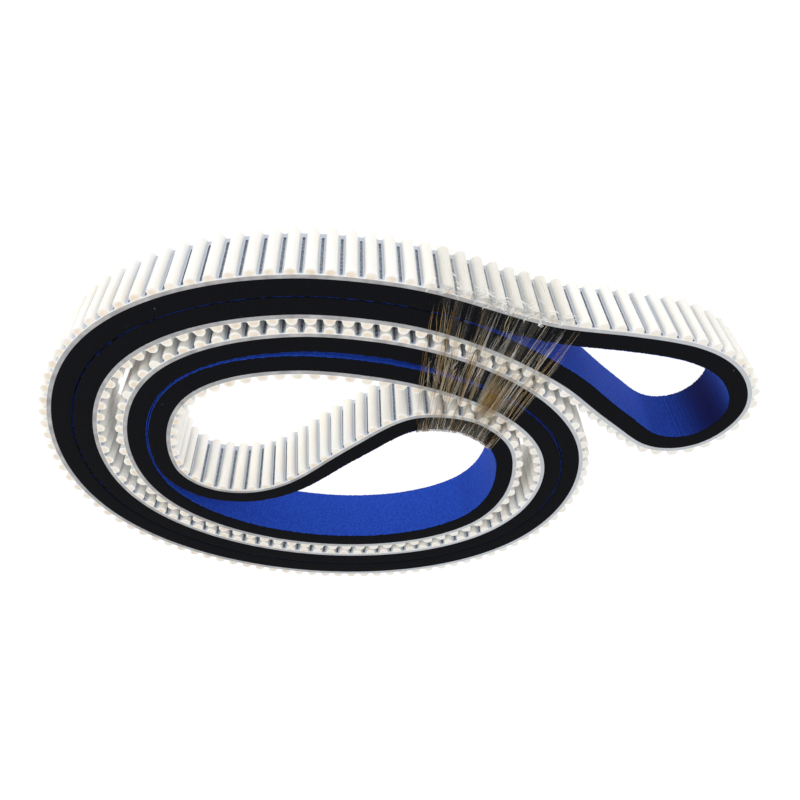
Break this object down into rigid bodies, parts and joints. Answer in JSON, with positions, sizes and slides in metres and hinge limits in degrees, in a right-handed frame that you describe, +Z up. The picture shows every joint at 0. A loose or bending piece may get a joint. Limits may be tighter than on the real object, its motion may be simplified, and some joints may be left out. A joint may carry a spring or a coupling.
{
  "type": "timing belt",
  "caption": "Endless white toothed drive belt with black sponge and blue fabric backing, doubled, rolled into a coil lying on its side and bound with clear film.",
  "frame": {"origin": "on the floor, under the middle of the coil's outline", "axes": "+Z up, across the belt's width; +X along the coil's length, towards the end away from the outer loop; +Y away from the side where the film's widest part is"},
  "size_m": [0.3485, 0.2321, 0.0314],
  "materials": {
    "polyurethane_teeth": "satin white polyurethane",
    "polyurethane_back": "satin greyish white polyurethane",
    "sponge": "matte black closed-cell sponge rubber",
    "fabric": "fine royal blue cover fabric",
    "film": "clear wrinkled packing film, slightly yellowed",
    "steel_cord": "bare stranded steel"
  },
  "bodies": {
    "root": {"polyurethane_tooth_layer": "polyurethane_teeth", "polyurethane_back_layer": "polyurethane_back", "sponge_backing": "sponge", "cover_fabric": "fabric", "binding_film": "film", "steel_cord_01": "steel_cord", "steel_cord_02": "steel_cord", "steel_cord_03": "steel_cord", "steel_cord_04": "steel_cord", "steel_cord_05": "steel_cord", "steel_cord_06": "steel_cord", "steel_cord_07": "steel_cord", "steel_cord_08": "steel_cord", "steel_cord_09": "steel_cord", "steel_cord_10": "steel_cord"}
  },
  "joints": []
}
